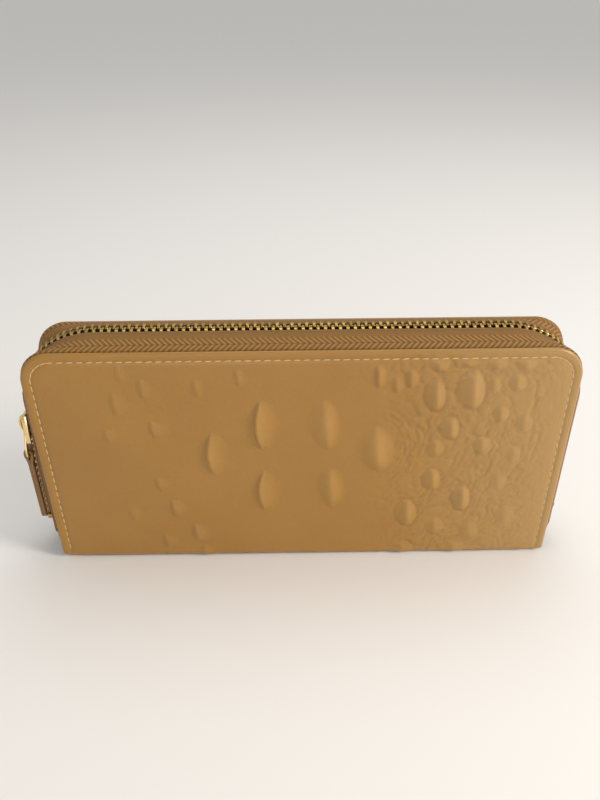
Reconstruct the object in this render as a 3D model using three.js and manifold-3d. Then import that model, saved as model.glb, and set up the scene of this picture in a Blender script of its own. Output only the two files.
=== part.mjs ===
// Zip-around wallet, zipped and standing on its spine. Millimetres, +Z up, +X along the wallet, front cover
// towards -Y. The origin is the centre of the spine's underside. Each cover turns outward about the centre of its
// fold at the spine, and everything on a cover is laid out by its depth below the cover's outer face.
import * as THREE from "three";
import { mergeVertices } from "three/addons/utils/BufferGeometryUtils.js";
import Module from "manifold-3d";

const wasm = await Module();
wasm.setup();

// Driving dimensions.
const wallet = { width: 195, height: 94, depth: 26, cornerRadius: 11.5, foldRadius: 3, glueGap: 0.05 };
const leather = { skin: 1.1, turnedEdge: 1.2, foldClearance: 0.1, color: 0xb5874c };
const board = { thickness: 0.7, fit: 0.2, color: 0x8d7a5d };
const lining = { thickness: 0.5, inset: 1, foot: 4.2, color: 0x6b4a2f };
const tape = { thickness: 0.4, flange: 6.5, foot: 9, edgeLift: 0.3, flatHalf: 5.6, cornerSteps: 7, color: 0xa97f4d };
const chain = {
  topRise: 2.6, sideRise: 4.2, bendWide: 30, bendTall: 28, bendSteps: 8, thickness: 2.2, pitch: 2.6, toothWidth: 1,
  tip: 0.4, back: 2.9, cord: 0.7, color: 0xc9a55a,
};
const opening = { lead: 5.3, atTail: 1.65, full: 3.2, run: 10.5 };
const stop = { foot: 15, height: 2, overhang: 0.3, lift: 0.4 };
const cards = {
  tiers: 4, thickness: 0.45, headroom: 14, step: 12.5, foot: 5.5, inset: 6, notch: 2.2, color: 0xa87c47,
};
const slider = {
  height: 57.5, length: 11.4, narrowHalf: 4.2, wideHalf: 5.4, gapHalf: 1.5, blade: 1, lip: 0.75, lipWidth: 0.8,
  wedgeHalf: 0.8, wedgeTip: 0.2, wedgeLength: 5.6, color: 0xd4ac55,
};
const crown = { length: 8.2, clearance: 2.2, bar: 1.1, width: 1.8 };
const link = { bar: 1.1, length: 10.6, narrowHalf: 1.4, slack: 0.3, pivot: -2 };
const pullTab = { width: 8, length: 30.8, thickness: 2.2, eyeGap: 0.55, color: 0x8f6433 };
const coin = {
  sideInset: 9.5, headroom: 12.8, foot: 2.2, panel: 0.5, outerHalf: 3.6, tapeThickness: 0.4, coil: 1.5,
  coilHalf: 0.9, coilInset: 6, color: 0xa87c47,
};
const coinSlider = {
  length: 7.6, narrowHalf: 2.2, wideHalf: 2.75, gapHalf: 1.05, blade: 0.6, lip: 0.5, lipWidth: 0.5,
  wedgeHalf: 0.7, wedgeTip: 0.2, wedgeLength: 3.6, endClearance: 1.6,
};
const coinCrown = { length: 5, clearance: 1.5, bar: 0.7, width: 1.1 };
const coinPull = {
  length: 11.2, width: 5, thickness: 0.9, eyeHalf: 0.9, pivot: -0.9, border: 1, tipRadius: 2.2,
};
const gusset = { thickness: 0.4, foot: 4.5, headroom: 26, sideInset: 5.5, depth: 21, flange: 6, blunt: 0.45 };

// Places that follow from them.
const half = wallet.depth / 2;
const side = wallet.width / 2;
const shoulder = wallet.height - wallet.cornerRadius;
const hingeHalf = half - wallet.foldRadius;
const coverFoot = wallet.foldRadius + leather.foldClearance;
const boardDepth = leather.skin + wallet.glueGap;
const rimDepth = boardDepth + board.thickness;
const tapeDepth = rimDepth + wallet.glueGap;
const liningDepth = tapeDepth + tape.thickness + wallet.glueGap;
const cardDepth = liningDepth + lining.thickness + wallet.glueGap;
const cardInner = half - cardDepth - cards.tiers * (cards.thickness + wallet.glueGap);
const tapeInner = chain.back + wallet.glueGap;
const chainX = side + chain.sideRise;
const chainTop = wallet.height + chain.topRise;
const bendX = chainX - chain.bendWide;
const bendZ = chainTop - chain.bendTall;
const sliderTail = slider.height - slider.length / 2;
const openHead = slider.height + opening.lead;
const openFoot = sliderTail - opening.run;
const coinWidth = wallet.width - 2 * coin.sideInset;
const coinHeight = wallet.height - coin.headroom;
const smallSliderReach = coinWidth / 2 - coin.coilInset - coinSlider.length / 2 - coinSlider.endClearance;
const coinChainHeight = coinHeight + wallet.glueGap + coin.tapeThickness / 2;

const xAxis = new THREE.Vector3(1, 0, 0);
const yAxis = new THREE.Vector3(0, 1, 0);
const zAxis = new THREE.Vector3(0, 0, 1);
const profileAlongX = new THREE.Matrix4().makeBasis(yAxis, zAxis, xAxis);
const profileAlongY = new THREE.Matrix4().makeBasis(xAxis, zAxis, yAxis.clone().negate());

const leatherLook = { color: leather.color, roughness: 0.45, metalness: 0 };
const trimLook = { color: cards.color, roughness: 0.55, metalness: 0 };
const liningLook = { color: lining.color, roughness: 0.85, metalness: 0 };
const boardLook = { color: board.color, roughness: 0.9, metalness: 0 };
const wovenLook = { color: tape.color, roughness: 0.9, metalness: 0 };
const goldLook = { color: slider.color, roughness: 0.25, metalness: 1 };
const brassLook = { color: chain.color, roughness: 0.35, metalness: 1 };
const tabLook = { color: pullTab.color, roughness: 0.5, metalness: 0 };

// Solid tools.
function toSolid(geometry) {
  const bare = geometry.clone();
  bare.deleteAttribute("normal");
  bare.deleteAttribute("uv");
  const merged = mergeVertices(bare, 1e-3);
  const vertProperties = merged.attributes.position.array;
  const triVerts = new Uint32Array(merged.index.array);
  return new wasm.Manifold(new wasm.Mesh({ numProp: 3, vertProperties, triVerts }));
}

function toGeometry(solid) {
  const mesh = solid.getMesh();
  return new THREE.BufferGeometry()
    .setAttribute("position", new THREE.BufferAttribute(mesh.vertProperties, 3))
    .setIndex(new THREE.BufferAttribute(mesh.triVerts, 1));
}

function join(...pieces) {
  return toGeometry(pieces.map(toSolid).reduce((whole, piece) => whole.add(piece)));
}

function cut(body, ...tools) {
  return toGeometry(tools.map(toSolid).reduce((whole, tool) => whole.subtract(tool), toSolid(body)));
}

function polygon(points) {
  return new THREE.Shape(points.map(([u, v]) => new THREE.Vector2(u, v)));
}

// A shape drawn in X and Z, standing between two values of Y.
function sheet(shape, yA, yB, curveSegments = 7) {
  const depth = Math.abs(yA - yB);
  return new THREE.ExtrudeGeometry(shape, { depth, bevelEnabled: false, curveSegments })
    .applyMatrix4(profileAlongY)
    .translate(0, Math.max(yA, yB), 0);
}

// A shape drawn in Y and Z, running between two values of X.
function bar(shape, xA, xB, curveSegments = 8) {
  const depth = Math.abs(xA - xB);
  return new THREE.ExtrudeGeometry(shape, { depth, bevelEnabled: false, curveSegments })
    .applyMatrix4(profileAlongX)
    .translate(Math.min(xA, xB), 0, 0);
}

// A shape drawn in X and Y, rising between two values of Z.
function plate(shape, zA, zB, curveSegments = 6) {
  return new THREE.ExtrudeGeometry(shape, { depth: zB - zA, bevelEnabled: false, curveSegments }).translate(0, 0, zA);
}

function block(xA, xB, yA, yB, zA, zB) {
  return new THREE.BoxGeometry(Math.abs(xB - xA), Math.abs(yB - yA), Math.abs(zB - zA))
    .translate((xA + xB) / 2, (yA + yB) / 2, (zA + zB) / 2);
}

// A strip of even thickness along a line of points, with mitred bends.
function ribbon(points, thickness) {
  const line = points.map(([u, v]) => new THREE.Vector2(u, v));
  const edges = [[], []];
  line.forEach((point, i) => {
    const before = line[Math.max(i - 1, 0)];
    const after = line[Math.min(i + 1, line.length - 1)];
    const arrive = (i ? point.clone().sub(before) : after.clone().sub(point)).normalize();
    const leave = (i < line.length - 1 ? after.clone().sub(point) : point.clone().sub(before)).normalize();
    const along = arrive.clone().add(leave).normalize();
    const reach = thickness / 2 / Math.max(along.dot(arrive), 0.3);
    const across = new THREE.Vector2(-along.y, along.x).multiplyScalar(reach);
    edges[0].push(point.clone().add(across));
    edges[1].unshift(point.clone().sub(across));
  });
  return new THREE.Shape([...edges[0], ...edges[1]]);
}

function piece(name, geometry, look) {
  const mesh = new THREE.Mesh(geometry, new THREE.MeshStandardMaterial(look));
  mesh.name = name;
  return mesh;
}

// Covers. hand is -1 for the front and +1 for the back.
function coverOutline(inset, foot) {
  const edge = side - inset;
  const top = wallet.height - inset;
  const radius = wallet.cornerRadius - inset;
  const shape = new THREE.Shape();
  shape.moveTo(-edge, foot);
  shape.lineTo(edge, foot);
  shape.lineTo(edge, top - radius);
  shape.absarc(edge - radius, top - radius, radius, 0, Math.PI / 2, false);
  shape.lineTo(-edge + radius, top);
  shape.absarc(-edge + radius, top - radius, radius, Math.PI / 2, Math.PI, false);
  return shape;
}

function layer(hand, shape, depth, thickness) {
  return sheet(shape, hand * (half - depth), hand * (half - depth - thickness));
}

function coverSkin(hand) {
  const whole = layer(hand, coverOutline(0, coverFoot), 0, rimDepth);
  const recess = layer(hand, coverOutline(leather.turnedEdge, coverFoot - 1), leather.skin, rimDepth);
  return cut(whole, recess);
}

function coverBoard(hand) {
  return layer(hand, coverOutline(leather.turnedEdge + board.fit, coverFoot + 0.5), boardDepth, board.thickness);
}

function coverLining(hand) {
  return layer(hand, coverOutline(lining.inset, lining.foot), liningDepth, lining.thickness);
}

// Tier 0 is the tallest and lies against the lining; each later tier is lower and lies on the one before.
function cardPocket(hand, tier) {
  const edge = side - cards.inset;
  const top = wallet.height - cards.headroom - tier * cards.step;
  const shape = new THREE.Shape();
  shape.moveTo(-edge, cards.foot);
  shape.lineTo(edge, cards.foot);
  shape.lineTo(edge, top);
  shape.lineTo(cards.notch, top);
  shape.absarc(0, top, cards.notch, 0, Math.PI, true);
  shape.lineTo(-edge, top);
  return layer(hand, shape, cardDepth + tier * (cards.thickness + wallet.glueGap), cards.thickness);
}

// The chain runs up the left side, over the top on bends wider than the covers' own, and down the right side.
const chainLine = new THREE.Path()
  .moveTo(-chainX, tape.foot).lineTo(-chainX, bendZ)
  .absellipse(-bendX, bendZ, chain.bendWide, chain.bendTall, Math.PI, Math.PI / 2, true)
  .lineTo(bendX, chainTop)
  .absellipse(bendX, bendZ, chain.bendWide, chain.bendTall, Math.PI / 2, 0, true)
  .lineTo(chainX, tape.foot);
const chainLength = chainLine.getLength();

// A place after a distance along the chain, and the turn of its outward side: 0 is -X and a quarter turn is +Z.
function chainPlace(distance) {
  const at = chainLine.getPoint(distance / chainLength);
  const way = chainLine.getTangent(distance / chainLength);
  return { x: at.x, z: at.y, turn: Math.atan2(way.x, way.y) };
}

// How far each half of the chain has left the middle: closed above the slider, parting through it and open below.
function parting(x, z) {
  if (x > 0 || z > openHead) return 0;
  if (z > sliderTail) return (opening.atTail * (openHead - z)) / (openHead - sliderTail);
  const below = Math.min((sliderTail - z) / opening.run, 1);
  return opening.atTail + (opening.full - opening.atTail) * below;
}

// How far outside a point of the covers' edge the chain runs.
function chainReach({ x, z, turn }) {
  const px = (Math.abs(x) - bendX) / chain.bendWide;
  const pz = (z - bendZ) / chain.bendTall;
  if (pz <= 0) return chain.sideRise;
  if (px <= 0) return chain.topRise;
  const qx = Math.abs(Math.cos(turn)) / chain.bendWide;
  const qz = Math.sin(turn) / chain.bendTall;
  const a = qx * qx + qz * qz;
  const b = px * qx + pz * qz;
  return (Math.sqrt(b * b - a * (px * px + pz * pz - 1)) - b) / a;
}

const mirrored = ({ x, z, turn }) => ({ x: -x, z, turn: Math.PI - turn });
const steps = (count, place) => [...Array(count + 1).keys()].map((i) => place(i / count));

// The stations of the covers' edge, where the tape is sewn in. Each knows how far the chain is from it.
function edgeStations() {
  const radius = wallet.cornerRadius;
  const leg = (z) => ({ x: -side, z, turn: 0 });
  const bend = [
    ...[bendZ, (bendZ + shoulder) / 2].map(leg),
    ...steps(tape.cornerSteps, (t) => {
      const turn = (t * Math.PI) / 2;
      return { x: -side + radius - radius * Math.cos(turn), z: shoulder + radius * Math.sin(turn), turn };
    }),
    ...steps(3, (t) => t * (side - radius - bendX)).slice(1)
      .map((run) => ({ x: -side + radius + run, z: wallet.height, turn: Math.PI / 2 })),
  ];
  const left = [...[tape.foot, openFoot, sliderTail, openHead].map(leg), ...bend];
  const right = [leg(tape.foot), ...bend].map(mirrored).reverse();
  return [...left, ...right].map((place) => ({
    ...place, out: chainReach(place) - chain.topRise, part: parting(place.x, place.z),
  }));
}

// The stations of the chain itself, between the stops.
function chainStations() {
  const foot = stop.foot + stop.height + wallet.glueGap;
  const leg = (z) => ({ x: -chainX, z, turn: 0 });
  const bend = steps(chain.bendSteps, (t) => {
    const [c, s] = [Math.cos((t * Math.PI) / 2), Math.sin((t * Math.PI) / 2)];
    const turn = Math.atan2(s / chain.bendTall, c / chain.bendWide);
    return { x: -bendX - chain.bendWide * c, z: bendZ + chain.bendTall * s, turn };
  });
  const left = [...[foot, openFoot, sliderTail, openHead].map(leg), ...bend];
  const right = [leg(foot), ...bend].map(mirrored).reverse();
  return [...left, ...right].map((place) => ({ ...place, out: 0, part: parting(place.x, place.z) }));
}

// A skin over the sections standing at the stations, closed at both ends. A section's point is its distance
// outside the line, its distance from the middle, and the share of the station's own shift that it takes.
function sweep(section, stations, hand) {
  const flat = (points) => points.map(([u, y]) => new THREE.Vector2(u, -hand * y));
  const points = THREE.ShapeUtils.isClockWise(flat(section)) ? [...section].reverse() : section;
  const count = points.length;
  const positions = stations.flatMap(({ x, z, turn, out, part }) => points.flatMap(([u, y, share]) => {
    const reach = u + share * out;
    return [x - reach * Math.cos(turn), hand * (y + share * part), z + reach * Math.sin(turn)];
  }));
  const last = (stations.length - 1) * count;
  const ends = THREE.ShapeUtils.triangulateShape(flat(points), []);
  const index = ends.flatMap(([a, b, c]) => [a, c, b, last + a, last + b, last + c]);
  for (let ring = 0; ring < last; ring += count)
    for (let i = 0; i < count; i++) {
      const [a, b] = [ring + i, ring + ((i + 1) % count)];
      index.push(a, b, b + count, a, b + count, a + count);
    }
  return new THREE.BufferGeometry()
    .setAttribute("position", new THREE.BufferAttribute(new Float32Array(positions), 3))
    .setIndex(index);
}

// The tape is sewn between the turned edge and the lining, then arches over to the chain.
function coverTape(hand) {
  const sewn = half - tapeDepth - tape.thickness / 2;
  const line = [
    [-tape.flange, sewn], [tape.edgeLift, sewn], [chain.topRise, tape.flatHalf], [chain.topRise, tapeInner],
  ];
  const share = (y) => THREE.MathUtils.clamp((sewn - y) / (sewn - tape.flatHalf), 0, 1);
  const section = ribbon(line, tape.thickness).getPoints().map(({ x, y }) => [x, y, share(y)]);
  return sweep(section, edgeStations(), hand);
}

// A piece drawn with X along the chain and Z outward, set on the chain's half.
function onChain(geometry, distance, hand) {
  const { x, z, turn } = chainPlace(distance);
  return geometry.rotateY(turn - Math.PI / 2).translate(x, hand * parting(x, z), z);
}

// One side's teeth on their cord. The two sides stand half a pitch apart.
function teethComb(hand) {
  const reach = chain.thickness / 2;
  const inner = chain.back - chain.cord;
  const cord = [[-reach, chain.back, 1], [reach, chain.back, 1], [reach, inner, 1], [-reach, inner, 1]];
  const ends = stop.foot + stop.height - tape.foot;
  const phase = hand < 0 ? 0.25 : 0.75;
  const teeth = [];
  for (let i = Math.ceil(ends / chain.pitch); (i + 1) * chain.pitch < chainLength - ends; i++) {
    const tooth = block(-chain.toothWidth / 2, chain.toothWidth / 2,
      hand * (chain.back - chain.cord / 2), -hand * chain.tip, -reach + 0.1, reach - 0.1);
    teeth.push(onChain(tooth, (i + phase) * chain.pitch, hand));
  }
  return join(sweep(cord, chainStations(), hand), ...teeth);
}

// A clip on the chain's end. reach is how far it goes past the middle, so the bottom stop holds both cords.
function chainStop(hand, x, reach) {
  const wide = chain.thickness / 2 + stop.overhang;
  const part = parting(x, stop.foot);
  const [outer, inner] = [chain.back + part, part - reach];
  return block(x - wide, x + wide, hand * outer, hand * inner, stop.foot, stop.foot + stop.height);
}

// Spine and folds.
function foldSkin(hand) {
  const centre = [hand * hingeHalf, wallet.foldRadius];
  const from = hand < 0 ? Math.PI : 1.5 * Math.PI;
  const shape = new THREE.Shape();
  shape.absarc(...centre, wallet.foldRadius, from, from + Math.PI / 2, false);
  shape.absarc(...centre, wallet.foldRadius - leather.skin, from + Math.PI / 2, from, true);
  return bar(shape, -side, side);
}

function spineStrip(width, depthHalf, zA, zB) {
  return block(-width / 2, width / 2, -depthHalf, depthHalf, zA, zB);
}

// Coin pocket, standing in the middle of the wallet.
function coinPanel(hand) {
  return block(-coinWidth / 2, coinWidth / 2,
    hand * (coin.outerHalf - coin.panel), hand * coin.outerHalf, coin.foot, coinHeight);
}

function coinSide(end) {
  const wide = coin.outerHalf - coin.panel - wallet.glueGap;
  return block(end * (coinWidth / 2 - coin.panel), end * coinWidth / 2, -wide, wide, coin.foot, coinHeight);
}

function coinTape(hand) {
  const low = coinHeight + wallet.glueGap;
  return block(-coinWidth / 2, coinWidth / 2,
    hand * (coin.coilHalf + wallet.glueGap), hand * coin.outerHalf, low, low + coin.tapeThickness);
}

// Both coils end where the closed slider's wedge parts them.
function coinCoil(hand) {
  const reach = coinWidth / 2 - coin.coilInset;
  const wedgeTip = smallSliderReach + coinSlider.length / 2 - coinSlider.wedgeLength;
  return block(-reach, wedgeTip - 0.3, hand * wallet.glueGap, hand * coin.coilHalf,
    coinChainHeight - coin.coil / 2, coinChainHeight + coin.coil / 2);
}

function coinStop(end) {
  const from = end * (coinWidth / 2 - coin.coilInset + wallet.glueGap);
  return block(from, from + end * stop.height, -coin.coilHalf, coin.coilHalf,
    coinChainHeight - coin.coil / 2, coinChainHeight + coin.coil / 2);
}

function coinFloor() {
  const low = leather.skin + lining.thickness + 2 * wallet.glueGap;
  return block(-coinWidth / 2, coinWidth / 2, -coin.outerHalf, coin.outerHalf, low, coin.foot - wallet.glueGap);
}

// A bellows fold between the coin pocket and a cover's card pockets: flange, out to the edge, in to the tip, back.
function sideGusset(hand, end) {
  const pocketFace = coin.outerHalf + wallet.glueGap + gusset.thickness / 2;
  const coverFace = cardInner - wallet.glueGap - gusset.thickness / 2;
  const middle = (pocketFace + coverFace) / 2;
  const outer = side - gusset.sideInset;
  const flange = outer - gusset.flange;
  const tip = outer - gusset.depth;
  const line = [
    [flange, pocketFace], [outer, pocketFace], [outer, pocketFace + 2 * gusset.blunt],
    [tip, middle - gusset.blunt], [tip, middle + gusset.blunt],
    [outer, coverFace - 2 * gusset.blunt], [outer, coverFace], [flange, coverFace],
  ];
  const fold = ribbon(line.map(([u, v]) => [end * u, hand * v]), gusset.thickness);
  return plate(fold, gusset.foot, wallet.height - gusset.headroom);
}

// A slider drawn with X towards the closed chain, Y across it and Z outward from the tape.
function sliderBody(size) {
  const tail = -size.length / 2;
  const nose = size.length / 2;
  const outline = (inset, reach) => polygon([
    [nose + reach, -size.narrowHalf + inset], [nose + reach, size.narrowHalf - inset],
    [tail + size.length / 3, size.wideHalf - inset], [tail - reach, size.wideHalf - inset],
    [tail - reach, -size.wideHalf + inset], [tail + size.length / 3, -size.wideHalf + inset],
  ]);
  const inner = size.gapHalf - size.lip;
  const outer = size.gapHalf + size.blade;
  const upper = cut(plate(outline(0, 0), inner, outer), plate(outline(size.lipWidth, 1), inner - 1, size.gapHalf));
  const lower = cut(plate(outline(0, 0), -outer, -inner), plate(outline(size.lipWidth, 1), -size.gapHalf, 1 - inner));
  const wedge = polygon([
    [tail + 0.3, -size.wedgeHalf / 2], [tail + 1.6, -size.wedgeHalf], [tail + size.wedgeLength, -size.wedgeTip],
    [tail + size.wedgeLength, size.wedgeTip], [tail + 1.6, size.wedgeHalf], [tail + 0.3, size.wedgeHalf / 2],
  ]);
  return join(upper, lower, plate(wedge, -outer + size.blade / 2, outer - size.blade / 2));
}

// The arch that the pull hangs in, standing on the slider's outer blade.
function sliderCrown(size, body) {
  const low = body.gapHalf + body.blade + wallet.glueGap;
  const reach = size.length / 2;
  const arch = (inset) => {
    const top = low + size.clearance + size.bar - inset;
    const radius = size.clearance / 2 - inset / 4;
    const shape = new THREE.Shape();
    shape.moveTo(-reach + inset, inset ? low - 1 : low);
    shape.lineTo(reach - inset, inset ? low - 1 : low);
    shape.lineTo(reach - inset, top - radius);
    shape.absarc(reach - inset - radius, top - radius, radius, 0, Math.PI / 2, false);
    shape.absarc(-reach + inset + radius, top - radius, radius, Math.PI / 2, Math.PI, false);
    return shape;
  };
  const wide = size.width / 2;
  return cut(sheet(arch(0), -wide, wide, 4), sheet(arch(size.bar), -wide - 1, wide + 1, 4));
}

function pullHeight(size, body) {
  return body.gapHalf + body.blade + wallet.glueGap + size.clearance / 2;
}

// A flat loop, narrow where it hangs in the crown and wide where it holds the leather tab.
function pullLink() {
  const top = link.pivot;
  const foot = link.pivot - link.length;
  const wide = pullTab.width / 2 + link.slack;
  const b = link.bar / 2;
  const frame = (grow) => polygon([
    [top + grow, -link.narrowHalf - b - grow], [top + grow, link.narrowHalf + b + grow],
    [foot + 3, wide + b + grow], [foot - grow, wide + b + grow],
    [foot - grow, -wide - b - grow], [foot + 3, -wide - b - grow],
  ]);
  const middle = pullHeight(crown, slider);
  return cut(plate(frame(b), middle - b, middle + b), plate(frame(-b), middle - 1 - b, middle + 1 + b));
}

// The leather strip is folded round the link's lower bar and sewn to itself below the eye.
function pullTabStrip() {
  const eye = link.pivot - link.length;
  const middle = pullHeight(crown, slider);
  const eyeRadius = link.bar / 2 + pullTab.eyeGap;
  const h = pullTab.thickness / 2;
  const outerRadius = eyeRadius + h;
  const bend = Math.asin(h / outerRadius);
  const shape = new THREE.Shape();
  shape.moveTo(eye - pullTab.length, middle - h);
  shape.lineTo(eye - outerRadius * Math.cos(bend), middle - h);
  shape.absarc(eye, middle, outerRadius, Math.PI + bend, Math.PI - bend, false);
  shape.lineTo(eye - pullTab.length, middle + h);
  const hole = new THREE.Path();
  hole.absarc(eye, middle, eyeRadius, 0, 2 * Math.PI, true);
  shape.holes.push(hole);
  return sheet(shape, -pullTab.width / 2, pullTab.width / 2, 10);
}

// The coin zip's pull lies along the pocket's top, towards the closed chain.
function coinPullPlate() {
  const middle = pullHeight(coinCrown, coinSlider);
  const h = coinPull.thickness / 2;
  const wide = coinPull.width / 2;
  const from = coinPull.pivot - coinPull.border / 2;
  const shape = polygon([
    [from, -wide / 2 - 0.4], [from + 2.5, -wide], [from + coinPull.length - coinPull.tipRadius, -wide],
    [from + coinPull.length, -wide + coinPull.tipRadius], [from + coinPull.length, wide - coinPull.tipRadius],
    [from + coinPull.length - coinPull.tipRadius, wide], [from + 2.5, wide], [from, wide / 2 + 0.4],
  ]);
  const window = polygon([
    [from + coinPull.border, -coinPull.eyeHalf], [from + coinPull.border + 5, -coinPull.eyeHalf],
    [from + coinPull.border + 5, coinPull.eyeHalf], [from + coinPull.border, coinPull.eyeHalf],
  ]);
  return cut(plate(shape, middle - h, middle + h), plate(window, middle - 1, middle + 1));
}

// Assembly.
const model = new THREE.Group();
const coverNames = { "-1": "front", 1: "back" };

for (const hand of [-1, 1]) {
  const name = coverNames[hand];
  model.add(
    piece(`${name}_cover_leather`, coverSkin(hand), leatherLook),
    piece(`${name}_cover_board`, coverBoard(hand), boardLook),
    piece(`${name}_cover_lining`, coverLining(hand), liningLook),
    piece(`${name}_zip_tape`, coverTape(hand), wovenLook),
    piece(`${name}_zip_teeth`, teethComb(hand), brassLook),
    piece(`${name}_zip_top_stop`, chainStop(hand, -chainX, -stop.lift), brassLook),
    piece(`${name}_fold_leather`, foldSkin(hand), leatherLook),
    piece(`coin_pocket_${name}_panel`, coinPanel(hand), trimLook),
    piece(`coin_zip_${name}_tape`, coinTape(hand), wovenLook),
    piece(`coin_zip_${name}_coil`, coinCoil(hand), wovenLook),
    piece(`left_${name}_gusset`, sideGusset(hand, -1), liningLook),
    piece(`right_${name}_gusset`, sideGusset(hand, 1), liningLook),
  );
  for (let tier = 0; tier < cards.tiers; tier++)
    model.add(piece(`${name}_card_pocket_${tier + 1}`, cardPocket(hand, tier), trimLook));
}

const spineHalf = hingeHalf - leather.foldClearance;
const spineTop = leather.skin + wallet.glueGap;
model.add(
  piece("spine_leather", spineStrip(wallet.width, spineHalf, 0, leather.skin), leatherLook),
  piece("spine_lining", spineStrip(wallet.width - 2, spineHalf, spineTop, spineTop + lining.thickness), liningLook),
  piece("coin_pocket_floor", coinFloor(), trimLook),
  piece("coin_pocket_left_side", coinSide(-1), trimLook),
  piece("coin_pocket_right_side", coinSide(1), trimLook),
  piece("coin_zip_left_stop", coinStop(-1), brassLook),
  piece("coin_zip_right_stop", coinStop(1), brassLook),
  piece("zip_bottom_stop", chainStop(1, chainX, chain.back), brassLook),
);

const mainSlider = new THREE.Group();
mainSlider.position.set(-chainX, 0, slider.height);
mainSlider.rotation.y = -Math.PI / 2;
mainSlider.add(
  piece("zip_slider_body", sliderBody(slider), goldLook),
  piece("zip_slider_crown", sliderCrown(crown, slider), goldLook),
  piece("zip_pull_link", pullLink(), goldLook),
  piece("zip_pull_tab", pullTabStrip(), tabLook),
);

const smallSlider = new THREE.Group();
smallSlider.position.set(smallSliderReach, 0, coinChainHeight);
smallSlider.rotation.z = Math.PI;
smallSlider.add(
  piece("coin_slider_body", sliderBody(coinSlider), goldLook),
  piece("coin_slider_crown", sliderCrown(coinCrown, coinSlider), goldLook),
  piece("coin_zip_pull", coinPullPlate(), goldLook),
);

model.add(mainSlider, smallSlider);
export default model;
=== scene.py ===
import bisect
import random
from math import atan2, copysign, cos, exp, hypot, pi, radians, sin, sqrt, tau

import bmesh
import bpy
from mathutils import Matrix, Vector, noise


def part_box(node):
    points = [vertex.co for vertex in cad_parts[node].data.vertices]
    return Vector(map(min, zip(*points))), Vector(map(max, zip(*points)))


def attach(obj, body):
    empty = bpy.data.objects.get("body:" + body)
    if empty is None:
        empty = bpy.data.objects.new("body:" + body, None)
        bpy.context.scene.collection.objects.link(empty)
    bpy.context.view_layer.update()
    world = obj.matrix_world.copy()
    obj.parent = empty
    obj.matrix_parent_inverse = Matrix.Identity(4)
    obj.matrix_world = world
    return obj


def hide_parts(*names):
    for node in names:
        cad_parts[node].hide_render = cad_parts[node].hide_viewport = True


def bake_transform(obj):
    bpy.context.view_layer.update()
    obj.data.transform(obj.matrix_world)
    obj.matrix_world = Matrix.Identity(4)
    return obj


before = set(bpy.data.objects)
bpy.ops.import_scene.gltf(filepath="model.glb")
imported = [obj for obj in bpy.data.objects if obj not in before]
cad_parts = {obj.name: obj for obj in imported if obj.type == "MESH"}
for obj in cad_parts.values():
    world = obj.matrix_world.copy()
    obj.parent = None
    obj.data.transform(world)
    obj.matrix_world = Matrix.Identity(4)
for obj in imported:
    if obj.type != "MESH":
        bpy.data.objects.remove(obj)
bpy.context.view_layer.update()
print("frame loaded")

mm = 0.001
sideName = {-1: "front", 1: "back"}
spineBody = "spine_and_coin_pocket"

# what the covers measure, from the frame, and the radii they are cut to
coverLow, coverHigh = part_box("front_cover_leather")
side, coverTop, half = coverHigh.x, coverHigh.z, -coverLow.y
rimDepth = coverHigh.y - coverLow.y
cornerRadius = 11.5 * mm
foldRadius = 3 * mm
hingeHalf = half - foldRadius
foldEnd = hingeHalf + foldRadius * pi / 2
shoulder, cornerX = coverTop - cornerRadius, side - cornerRadius
cornerLength = cornerRadius * pi / 2
edgeLength = 2 * (shoulder + cornerLength + cornerX)
# the chain's own line: how far it stands outside the covers, and the wider bends it takes at the top corners
chainX, chainTop = side + 4.2 * mm, coverTop + 2.6 * mm
bendWide, bendTall = 30 * mm, 28 * mm
bendX, bendZ = chainX - bendWide, chainTop - bendTall
sliderZ, sliderLength = 57.5 * mm, 11.4 * mm
sliderTail = sliderZ - sliderLength / 2
parted = {"head": sliderZ + 5.3 * mm, "atTail": 1.65 * mm, "full": 3.2 * mm, "run": 10.5 * mm}


def smooth(low, high, value):
    t = min(max((value - low) / (high - low), 0), 1)
    return t * t * (3 - 2 * t)


def noiseAt(x, y, z, scale=1.0):
    return noise.noise(Vector((x, y, z)) * scale)


# where a point stands against the covers' edge: outward direction, distance inside it, distance along it
def edgeFrame(x, z):
    across = abs(x)
    if across > cornerX and z > shoulder:
        reach = hypot(across - cornerX, z - shoulder)
        turn = atan2(z - shoulder, across - cornerX)
        outward = (across - cornerX) / reach, (z - shoulder) / reach
        inset, along = cornerRadius - reach, shoulder + turn * cornerRadius
    elif side - across < coverTop - z:
        outward, inset, along = (1, 0), side - across, z
    else:
        outward, inset, along = (0, 1), coverTop - z, shoulder + cornerLength + cornerX - across
    if x > 0:
        return Vector((outward[0], 0, outward[1])), inset, edgeLength - along
    return Vector((-outward[0], 0, outward[1])), inset, along


# a grid of faces over every pair of the two lists, each corner put where place(u, v) says
def gridMesh(us, vs, place):
    bm = bmesh.new()
    bmesh.ops.create_grid(bm, x_segments=len(us) - 1, y_segments=len(vs) - 1, size=0.5)
    uvLayer = bm.loops.layers.uv.new("UVMap")
    spot = {}
    for v in bm.verts:
        column, row = round((v.co.x + 0.5) * (len(us) - 1)), round((v.co.y + 0.5) * (len(vs) - 1))
        spot[v] = us[column], vs[row]
        v.co = place(*spot[v])
    for face in bm.faces:
        for loop in face.loops:
            loop[uvLayer].uv = spot[loop.vert]
    return bm


def spread(low, high, count):
    return [low + (high - low) * i / count for i in range(count + 1)]


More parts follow.
